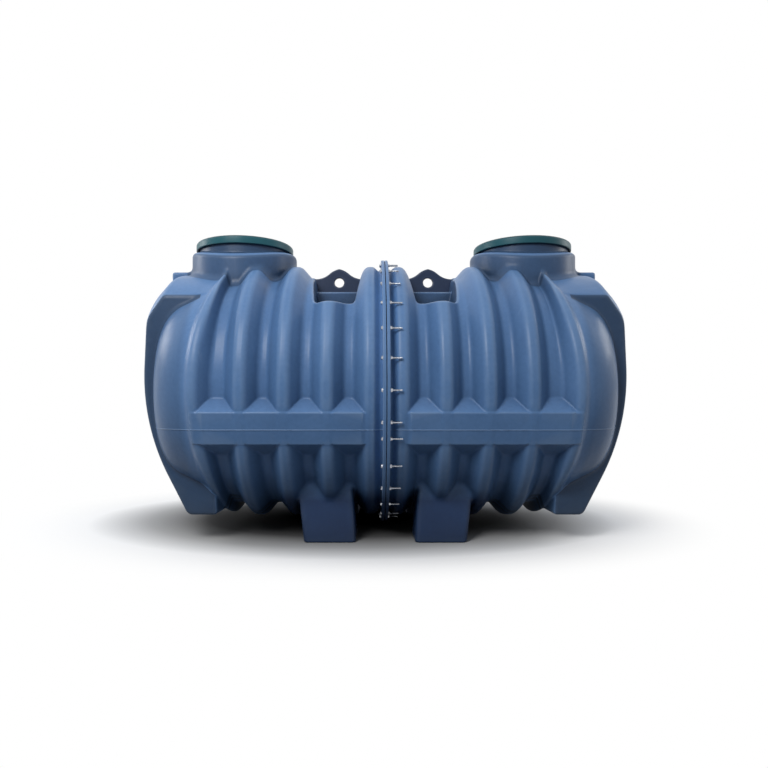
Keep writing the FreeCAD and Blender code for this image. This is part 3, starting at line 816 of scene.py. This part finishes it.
def lathe(name, profile, place, segments):
    """A profile of (radius, distance along the axis) turned by a function that places each point."""
    angles = np.linspace(0, 2 * math.pi, segments, endpoint=False)
    points = [place(radius, along, angle) for radius, along in profile for angle in angles]
    mesh = new_mesh(name, points, tube_faces(len(profile), segments))
    bm = bmesh.new()
    bm.from_mesh(mesh)
    bmesh.ops.remove_doubles(bm, verts=bm.verts, dist=1e-6)
    bmesh.ops.dissolve_degenerate(bm, edges=bm.edges, dist=1e-7)
    bmesh.ops.recalc_face_normals(bm, faces=bm.faces)
    bm.to_mesh(mesh)
    bm.free()
    smooth_up_to(mesh, TURNED_SHARP_ANGLE)
    return add_object(name, mesh)


def flange_ring(side, sign):
    """The bolting flange of a half with its moulded round rim."""
    inner = HUMP_ROOT_RADIUS - WALL
    corners = [
        (inner, FLANGE_FACE_X, 0),
        (FLANGE_RADIUS, FLANGE_FACE_X, FLANGE_FACE_ARC),
        (FLANGE_RADIUS, FLANGE_BACK_X, FLANGE_BACK_ARC),
        (inner, FLANGE_BACK_X, 0),
        (inner, FLANGE_FACE_X, 0),
    ]

    def place(radius, along, angle):
        return sign * along, radius * math.cos(angle), AXIS_HEIGHT + radius * math.sin(angle)

    return lathe(side + "_flange_ring", rounded_profile(corners, FLANGE_ARC_STEPS), place, FLANGE_SEGMENTS)


def manhole_cap(side, sign):
    """The lid: a skirt with a rolled rim, a step round the top and a shallow crown."""
    step = COLLAR_RADIUS - LID_STEP_INSET
    valley = LID_TOP - LID_VALLEY_DEPTH
    points = [
        (0.0, LID_SEAT + LID_CROWN),
        (COLLAR_RADIUS - LID_UNDER_INSET, LID_SEAT),
        (LID_SKIRT_INNER, LID_SEAT),
        (LID_SKIRT_INNER, LID_SKIRT_BOTTOM),
        (LID_RADIUS, LID_SKIRT_BOTTOM),
        (LID_RADIUS, LID_TOP),
        (step, LID_TOP),
        (step - LID_VALLEY[0], valley),
        (step - LID_VALLEY[1], valley),
        (step - LID_CROWN_INSET, LID_TOP + LID_CROWN_LIFT),
        (0.0, LID_TOP + LID_CROWN),
    ]
    corners = [(*point, arc) for point, arc in zip(points, (0, *LID_ARCS, 0))]

    def place(radius, along, angle):
        centre = sign * MANHOLE_X
        return centre + radius * math.cos(angle), radius * math.sin(angle), AXIS_HEIGHT + along

    return lathe(side + "_cap", rounded_profile(corners, LID_ARC_STEPS), place, LID_SEGMENTS)


def bolt_angles():
    """Angles of the flange bolts about the axis, from the rear upwards."""
    parting = math.degrees(math.asin(PARTING_HEIGHT / CREST_RADIUS))
    first = parting + PARTING_BOLT_ANGLE
    last = parting - PARTING_BOLT_ANGLE
    upper = np.linspace(first, 180 - first, UPPER_BOLTS)
    lower = np.linspace(last, -180 - last, LOWER_BOLTS)
    return np.radians(np.concatenate((upper, lower)))


def ring(x, radius, count, turn=0.0):
    """Evenly spaced points on a circle about the x axis."""
    angles = [2 * math.pi * index / count + turn for index in range(count)]
    return [(x, radius * math.cos(angle), radius * math.sin(angle)) for angle in angles]


def washer(start, end):
    """Loops of points of a washer between two places along x."""
    return [ring(x, WASHER_RADIUS, WASHER_SIDES) for x in (start, end)]


def hexagon(start, end, turn):
    """Loops of points of a bolt head or nut along x, with a chamfer at its outer end."""
    chamfer = end - math.copysign(HEX_CHAMFER, end - start)
    stops = ((start, HEX_RADIUS), (chamfer, HEX_RADIUS), (end, HEX_RADIUS - HEX_CHAMFER_DROP))
    return [ring(x, radius, 6, turn) for x, radius in stops]


def thread(start, end):
    """Loops of points of a screw thread whose crest climbs as it goes round."""
    steps = int((end - start) / BOLT_PITCH * THREAD_STEPS)
    x = np.linspace(start, end, steps + 1)[:, None]
    angle = np.linspace(0, 2 * math.pi, THREAD_SIDES, endpoint=False)
    phase = (x / BOLT_PITCH - angle / (2 * math.pi)) % 1.0
    radius = BOLT_RADIUS - THREAD_DEPTH * np.abs(2 * phase - 1)
    radius[-1] -= THREAD_DEPTH
    return np.stack(np.broadcast_arrays(x, radius * np.cos(angle), radius * np.sin(angle)), axis=-1)


def add_loops(bm, loops):
    """Joins loops of points into a closed form and returns its vertices."""
    loops = [[bm.verts.new(point) for point in loop] for loop in loops]
    count = len(loops[0])
    for lower, upper in zip(loops, loops[1:]):
        for index in range(count):
            following = (index + 1) % count
            bm.faces.new((lower[index], lower[following], upper[following], upper[index]))
    bm.faces.new(loops[0][::-1])
    bm.faces.new(loops[-1])
    return [vert for loop in loops for vert in loop]


def flange_bolts():
    """All bolts of the flange as one joined mesh: heads on the left, nuts and ends on the right."""
    bm = bmesh.new()
    head_start = -FLANGE_BACK_X - WASHER_HEIGHT
    nut_start = FLANGE_BACK_X + WASHER_HEIGHT
    nut_end = nut_start + NUT_HEIGHT
    twist = np.random.default_rng(TWIST_SEED)
    for angle in bolt_angles():
        turn = twist.uniform(0, math.pi / 3)
        overrun = BOLT_OVERRUN + twist.uniform(*OVERRUN_SPREAD)
        forms = (
            washer(-FLANGE_BACK_X, head_start),
            hexagon(head_start, head_start - HEAD_HEIGHT, turn),
            washer(FLANGE_BACK_X, nut_start),
            hexagon(nut_start, nut_end, turn),
            thread(nut_end - THREAD_OVERLAP, nut_end + overrun),
        )
        verts = [vert for form in forms for vert in add_loops(bm, form)]
        shift = Vector((0, BOLT_CIRCLE * math.cos(angle), AXIS_HEIGHT + BOLT_CIRCLE * math.sin(angle)))
        bmesh.ops.translate(bm, verts=verts, vec=shift)
    bmesh.ops.recalc_face_normals(bm, faces=bm.faces)
    mesh = bpy.data.meshes.new("flange_bolts")
    bm.to_mesh(mesh)
    bm.free()
    smooth_up_to(mesh, BOLT_SHARP_ANGLE)
    return add_object("flange_bolts", mesh)


def node_material(name, specular):
    """A new node material, with its node tree, its shader and the place on the object."""
    material = bpy.data.materials.new(name)
    material.use_nodes = True
    tree = material.node_tree
    shader = tree.nodes["Principled BSDF"]
    shader.inputs["Specular IOR Level"].default_value = specular
    place = tree.nodes.new("ShaderNodeTexCoord").outputs["Object"]
    return material, tree, shader, place


def noise(tree, place, scale, detail, roughness=0.5, stretch=None):
    """Value of a noise texture at a place, stretched where a scale of each axis is given."""
    if stretch:
        place = vector_maths(tree, "MULTIPLY", place, stretch)
    texture = tree.nodes.new("ShaderNodeTexNoise")
    texture.inputs["Scale"].default_value = scale
    texture.inputs["Detail"].default_value = detail
    texture.inputs["Roughness"].default_value = roughness
    tree.links.new(place, texture.inputs["Vector"])
    return texture.outputs["Fac"]


def ramp(tree, value, stops):
    """Colours picked by a value from a list of (position, colour)."""
    node = tree.nodes.new("ShaderNodeValToRGB")
    elements = node.color_ramp.elements
    while len(elements) < len(stops):
        elements.new(0.5)
    for element, (position, colour) in zip(elements, stops):
        element.position = position
        element.color = (*colour, 1.0)
    tree.links.new(value, node.inputs["Fac"])
    return node.outputs["Color"]


def grey(level):
    """A grey as a colour."""
    return (level, level, level)


def grey_ramp(tree, value, stops):
    """Greys picked by a value from a list of (position, level)."""
    return ramp(tree, value, [(position, grey(level)) for position, level in stops])


def feed(tree, socket, value):
    """Links a socket to another one, or sets it to a plain value."""
    if isinstance(value, bpy.types.NodeSocket):
        tree.links.new(value, socket)
    else:
        socket.default_value = value


def mixed(tree, factor, first, second, mode="MIX"):
    """Two colours mixed by a factor."""
    node = tree.nodes.new("ShaderNodeMix")
    node.data_type = "RGBA"
    node.blend_type = mode
    feed(tree, node.inputs["Factor"], factor)
    for socket, colour in ((node.inputs[6], first), (node.inputs[7], second)):
        feed(tree, socket, (*colour, 1.0) if isinstance(colour, tuple) else colour)
    return node.outputs[2]


def mixed_shader(tree, factor, first, second):
    """Two shaders mixed by a factor."""
    node = tree.nodes.new("ShaderNodeMixShader")
    for socket, value in zip(node.inputs, (factor, first, second)):
        tree.links.new(value, socket)
    return node.outputs[0]


def maths(tree, operation, *values):
    """Result of a sum, product or comparison of sockets and numbers."""
    node = tree.nodes.new("ShaderNodeMath")
    node.operation = operation
    for socket, value in zip(node.inputs, values):
        feed(tree, socket, value)
    return node.outputs[0]


def vector_maths(tree, operation, *values):
    """Result of an operation on vectors, which is a number for a length or a dot product."""
    node = tree.nodes.new("ShaderNodeVectorMath")
    node.operation = operation
    for socket, value in zip(node.inputs, values):
        feed(tree, socket, value)
    return node.outputs["Value" if operation in ("LENGTH", "DOT_PRODUCT") else "Vector"]


def split_place(tree, place):
    """The X, Y and Z of a place."""
    node = tree.nodes.new("ShaderNodeSeparateXYZ")
    tree.links.new(place, node.inputs[0])
    return node.outputs


def add_bump(tree, shader, heights):
    """Chains bumps of (height value, strength, distance) into the shader's normal."""
    normal = None
    for value, strength, distance in heights:
        bump = tree.nodes.new("ShaderNodeBump")
        bump.inputs["Strength"].default_value = strength
        bump.inputs["Distance"].default_value = distance
        tree.links.new(value, bump.inputs["Height"])
        if normal:
            tree.links.new(normal, bump.inputs["Normal"])
        normal = bump.outputs["Normal"]
    tree.links.new(normal, shader.inputs["Normal"])


def wall_mask(tree, value, place, fillet):
    """One where a value lies on a wall at that place or in the fillet just outside it, else none."""
    inner = place - SHADE_MASK_EDGE
    outer = place + fillet
    stops = ((inner, 0.0), (place - SHADE_MASK_EDGE / 2, 1.0), (outer, 1.0), (outer + SHADE_MASK_EDGE, 0.0))
    return grey_ramp(tree, value, stops)


def boss_side_mask(tree, x, y, z):
    """One on the boss's flat sides past the outer crest, and further in down at its heel, else none."""
    below_dome = maths(tree, "SUBTRACT", AXIS_HEIGHT + HEEL_TOP, z)
    heel_depth = maths(tree, "MAXIMUM", below_dome, 0.0)
    reach = maths(tree, "MULTIPLY_ADD", heel_depth, HEEL_SLANT, x)
    past_crest = maths(tree, "GREATER_THAN", reach, OUTER_CREST_X)
    return maths(tree, "MULTIPLY", wall_mask(tree, y, BOSS_HALF_WIDTH, SHADE_MASK_FILLET), past_crest)


def foot_mask(tree, x, z):
    """One on the lower part of the feet, else none."""
    low = grey_ramp(tree, z, FOOT_SHADE_STOPS)
    near_flange = maths(tree, "LESS_THAN", x, FIRST_RIB_X + 2 * FOOT_HALF_LENGTH)
    return maths(tree, "MULTIPLY", low, near_flange)


def dome_mask(tree, x, y):
    """One on the domes beside the boss, past the outer rib, else none."""
    past_rib = grey_ramp(tree, maths(tree, "SUBTRACT", x, OUTER_CREST_X), DOME_SHADE_STOPS)
    beside_boss = maths(tree, "GREATER_THAN", y, BOSS_HALF_WIDTH + SHADE_MASK_FILLET)
    return maths(tree, "MULTIPLY", past_rib, beside_boss)


def painted_shade_tones(tree, place):
    """Painted shade: darker on boss sides, feet, domes, necks and collars than on the ribs."""
    mirrored = vector_maths(tree, "ABSOLUTE", place)
    x, y, z = split_place(tree, mirrored)
    offset = vector_maths(tree, "MULTIPLY_ADD", mirrored, (1.0, 1.0, 0.0), (-MANHOLE_X, 0.0, 0.0))
    from_manhole = vector_maths(tree, "LENGTH", offset)
    tone = grey(1.0)
    for mask, darker in (
        (boss_side_mask(tree, x, y, z), grey(BOSS_SIDE_SHADE)),
        (foot_mask(tree, x, z), FOOT_SHADE),
        (dome_mask(tree, x, y), grey(DOME_SHADE)),
        (wall_mask(tree, from_manhole, NECK_RADIUS, NECK_FILLET), grey(NECK_SHADE)),
        (wall_mask(tree, from_manhole, COLLAR_RADIUS, SHADE_MASK_FILLET), grey(COLLAR_SHADOW)),
    ):
        tone = mixed(tree, mask, tone, darker)
    return tone


def worn_edges_and_highlight(tree):
    """Share of rubbed plastic and painted highlight along outer edges and rib crests, else none."""
    bend = tree.nodes.new("ShaderNodeNewGeometry").outputs["Pointiness"]
    return grey_ramp(tree, bend, WORN_EDGE_AND_HIGHLIGHT_STOPS)


def painted_shade(tree, place):
    """Painted shade: darker in hollows and corners by ambient occlusion, darker in patches towards the
    ground, and darker on boss sides, feet, domes, necks and collars.
    """
    # Painted shade: ambient occlusion darkens hollows, corners and the gaps between forms
    hollow = tree.nodes.new("ShaderNodeAmbientOcclusion")
    hollow.samples = HOLLOW_SHADE_SAMPLES
    hollow.only_local = True
    hollow.inputs["Distance"].default_value = HOLLOW_SHADE_REACH
    shade_in_hollows = grey_ramp(tree, hollow.outputs["AO"], HOLLOW_SHADE_STOPS)
    # Painted shade near the ground, darker towards the bottom in noisy patches
    patches = noise(tree, place, 6.0, 5.0, 0.6)
    patchy_height = maths(tree, "MULTIPLY_ADD", patches, GROUND_SHADE_PATCH, split_place(tree, place)["Z"])
    ground_shade = grey_ramp(tree, patchy_height, GROUND_SHADE_STOPS)
    hollow_and_ground_shade = mixed(tree, 1.0, shade_in_hollows, ground_shade, "MULTIPLY")
    return mixed(tree, 1.0, hollow_and_ground_shade, painted_shade_tones(tree, place), "MULTIPLY")


def moulded_plastic(name, colours):
    """Rotomoulded polyethylene: uneven tone, chalky bloom, scuffs, rubbed edges with a painted highlight,
    painted shade and a fine orange peel.
    """
    shade, main, light, dust = colours
    material, tree, shader, place = node_material(name, 0.22)
    broad = noise(tree, place, 1.7, 5.0, 0.55)
    tone = ramp(tree, broad, [(0.30, shade), (0.52, main), (0.74, light)])
    speckle = grey_ramp(tree, noise(tree, place, 46.0, 3.0, 0.6), [(0.35, 0.96), (0.65, 1.03)])
    tone = mixed(tree, 1.0, tone, speckle, "MULTIPLY")
    streak = noise(tree, place, 9.0, 6.0, 0.62, (0.6, 2.4, 0.35))
    scuff = grey_ramp(tree, streak, [(0.60, 0.0), (0.78, 0.35)])
    tone = mixed(tree, scuff, tone, dust)
    # Lighter along sharp bends: rubbed edges, and a painted highlight on the rib crests
    tone = mixed(tree, worn_edges_and_highlight(tree), tone, dust)
    tone = mixed(tree, 1.0, tone, painted_shade(tree, place), "MULTIPLY")
    tree.links.new(tone, shader.inputs["Base Color"])
    gloss = grey_ramp(tree, noise(tree, place, 5.0, 6.0, 0.6), [(0.3, 0.30), (0.7, 0.44)])
    tree.links.new(gloss, shader.inputs["Roughness"])
    peel = noise(tree, place, 210.0, 2.0)
    wave = noise(tree, place, 7.0, 2.0)
    add_bump(tree, shader, [(wave, 0.20, 0.006), (peel, 0.12, 0.0012)])
    return material


def galvanised_steel():
    """Zinc plated steel with a slightly patchy sheen."""
    material, tree, shader, place = node_material("galvanised_steel", 0.5)
    shader.inputs["Metallic"].default_value = 1.0
    patch = noise(tree, place, 160.0, 4.0)
    colour = ramp(tree, patch, [(0.3, (0.36, 0.38, 0.41)), (0.7, (0.58, 0.60, 0.63))])
    tree.links.new(colour, shader.inputs["Base Color"])
    gloss = grey_ramp(tree, noise(tree, place, 90.0, 3.0), [(0.3, 0.22), (0.7, 0.42)])
    tree.links.new(gloss, shader.inputs["Roughness"])
    add_bump(tree, shader, [(noise(tree, place, 900.0, 2.0), 0.15, 0.0003)])
    return material


def black_rubber():
    """Matt rubber with dusty wear."""
    material, tree, shader, place = node_material("black_rubber", 0.3)
    shader.inputs["Roughness"].default_value = 0.75
    wear = noise(tree, place, 40.0, 5.0)
    colour = ramp(tree, wear, [(0.35, (0.012, 0.012, 0.013)), (0.7, (0.045, 0.045, 0.048))])
    tree.links.new(colour, shader.inputs["Base Color"])
    add_bump(tree, shader, [(noise(tree, place, 500.0, 3.0), 0.2, 0.0005)])
    return material


def paint(piece, material):
    """Gives a piece, or a node that is shown as it is, its finish."""
    piece.data.materials.clear()
    piece.data.materials.append(material)


def dress(piece, material, body, slot, *nodes):
    """Gives a piece its finish and body, and hides the nodes it stands for; the slot is not used."""
    paint(piece, material)
    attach(piece, body)
    if nodes:
        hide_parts(*nodes)


def build_tank():
    """Every piece of the object with its finish."""
    shell = moulded_plastic("shell_plastic", SHELL_COLOURS)
    lid = moulded_plastic("lid_plastic", LID_COLOURS)
    # Painted shade: the lugs take a much darker copy of the shell plastic
    dark = moulded_plastic("lug_shaded_plastic", LUG_SHADED_COLOURS)
    steel = galvanised_steel()
    rubber = black_rubber()
    skin = half_skin()
    lug = lug_skin()
    own_pieces = ("flange", "lifting_lug", "manhole_lid", "lid_seal")
    for side, sign in (("left", -1), ("right", 1)):
        prefix = side + "_"
        moulded = [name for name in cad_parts
                   if name.startswith(prefix) and name[len(prefix):] not in own_pieces]
        dress(moulded_piece(side + "_half_skin", skin, sign), shell, "tank", "shell", *moulded)
        dress(moulded_piece(side + "_lug_plate", lug, sign), dark, "tank", "shell", side + "_lifting_lug")
        dress(parting_seam(side, sign), shell, "tank", "shell")
        dress(flange_ring(side, sign), shell, "tank", "shell", side + "_flange")
        dress(manhole_cap(side, sign), lid, side + "_lid", "lid", side + "_manhole_lid")
        paint(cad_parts[side + "_lid_seal"], rubber)
    paint(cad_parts["flange_gasket"], rubber)
    dress(flange_bolts(), steel, "tank", "shell")


def add_light(name, place, size, power):
    """A soft square lamp at a place, turned to the object."""
    lamp = bpy.data.lights.new(name, "AREA")
    lamp.size = size
    lamp.energy = power
    holder = bpy.data.objects.new(name, lamp)
    holder.location = place
    holder.rotation_euler = (Vector(LAMP_AIM) - Vector(place)).to_track_quat("-Z", "Y").to_euler()
    bpy.context.scene.collection.objects.link(holder)


def shows_background(tree):
    """A value of 1 for rays that should see the plain white background."""
    path = tree.nodes.new("ShaderNodeLightPath")
    total = path.outputs["Is Camera Ray"]
    for name in ("Is Glossy Ray", "Is Transmission Ray"):
        total = maths(tree, "MAXIMUM", total, path.outputs[name])
    return total


def sky_strength(tree):
    """Strength of the sky, by how far a direction points right, back and up or the other way."""
    direction = tree.nodes.new("ShaderNodeTexCoord").outputs["Generated"]
    shares = []
    for sign, weights in ((1.0, SKY_FROM_RIGHT_BACK_TOP), (-1.0, SKY_FROM_LEFT_FRONT_BELOW)):
        facing = vector_maths(tree, "MULTIPLY", direction, (sign, sign, sign))
        kept = vector_maths(tree, "MAXIMUM", facing, (0.0, 0.0, 0.0))
        shares.append(vector_maths(tree, "DOT_PRODUCT", kept, weights))
    return maths(tree, "ADD", *shares)


def white_world():
    """A sky that is brightest behind, on the right and overhead, with a plain white background."""
    world = bpy.data.worlds.new("studio")
    bpy.context.scene.world = world
    world.use_nodes = True
    tree = world.node_tree
    sky = tree.nodes["Background"]
    sky.inputs["Color"].default_value = (*SKY_COLOUR, 1.0)
    tree.links.new(sky_strength(tree), sky.inputs["Strength"])
    plain = tree.nodes.new("ShaderNodeBackground")
    plain.inputs["Color"].default_value = (1.0, 1.0, 1.0, 1.0)
    plain.inputs["Strength"].default_value = 1.0
    either = mixed_shader(tree, shows_background(tree), sky.outputs[0], plain.outputs[0])
    tree.links.new(either, tree.nodes["World Output"].inputs["Surface"])


def floor_distance(tree, place):
    """Distance from the middle of the painted shadow, which is 1 where the floor has faded to white."""
    offset = vector_maths(tree, "SUBTRACT", place, (*FADE_MIDDLE, 0.0))
    return vector_maths(tree, "LENGTH", vector_maths(tree, "DIVIDE", offset, (*FADE_SPREAD, 1.0)))


def floor_finish():
    """A pale finish with a painted shadow that darkens it round the object, on top of the shadow the lamps
    cast, and that fades to white further out.
    """
    material, tree, shader, place = node_material("pale_floor", 0.0)
    shader.inputs["Roughness"].default_value = FLOOR_ROUGHNESS
    seen = shows_background(tree)
    distance = floor_distance(tree, place)
    painted_shadow = grey_ramp(tree, distance, FLOOR_PAINTED_SHADOW)
    tree.links.new(mixed(tree, seen, FLOOR_BOUNCE, painted_shadow), shader.inputs["Base Color"])
    plain = tree.nodes.new("ShaderNodeEmission")
    plain.inputs["Color"].default_value = (1.0, 1.0, 1.0, 1.0)
    fade = tree.nodes.new("ShaderNodeMapRange")
    fade.interpolation_type = "SMOOTHSTEP"
    fade.inputs["From Min"].default_value = FADE_START
    fade.inputs["From Max"].default_value = 1.0
    tree.links.new(distance, fade.inputs["Value"])
    factor = maths(tree, "MULTIPLY", fade.outputs["Result"], seen)
    either = mixed_shader(tree, factor, shader.outputs[0], plain.outputs[0])
    tree.links.new(either, tree.nodes["Material Output"].inputs["Surface"])
    return material


def pale_floor():
    """A wide flat floor under the object."""
    signs = ((-1, -1), (1, -1), (1, 1), (-1, 1))
    corners = [(x * FLOOR_REACH, y * FLOOR_REACH, 0) for x, y in signs]
    mesh = new_mesh("floor", corners, [(0, 1, 2, 3)])
    mesh.materials.append(floor_finish())
    floor = add_object("floor", mesh)


def photo_camera():
    """A level camera at the photograph's place."""
    data = bpy.data.cameras.new("camera")
    data.lens = CAMERA_LENS
    data.sensor_width = SENSOR_WIDTH
    data.shift_x, data.shift_y = CAMERA_SHIFT
    camera = bpy.data.objects.new("camera", data)
    camera.location = CAMERA_PLACE
    camera.rotation_euler = (math.radians(90), 0, 0)
    bpy.context.scene.collection.objects.link(camera)
    bpy.context.scene.camera = camera


build_tank()
photo_camera()
white_world()
pale_floor()
for lamp in LAMPS:
    add_light(*lamp)
bpy.context.scene.view_settings.view_transform = "Standard"
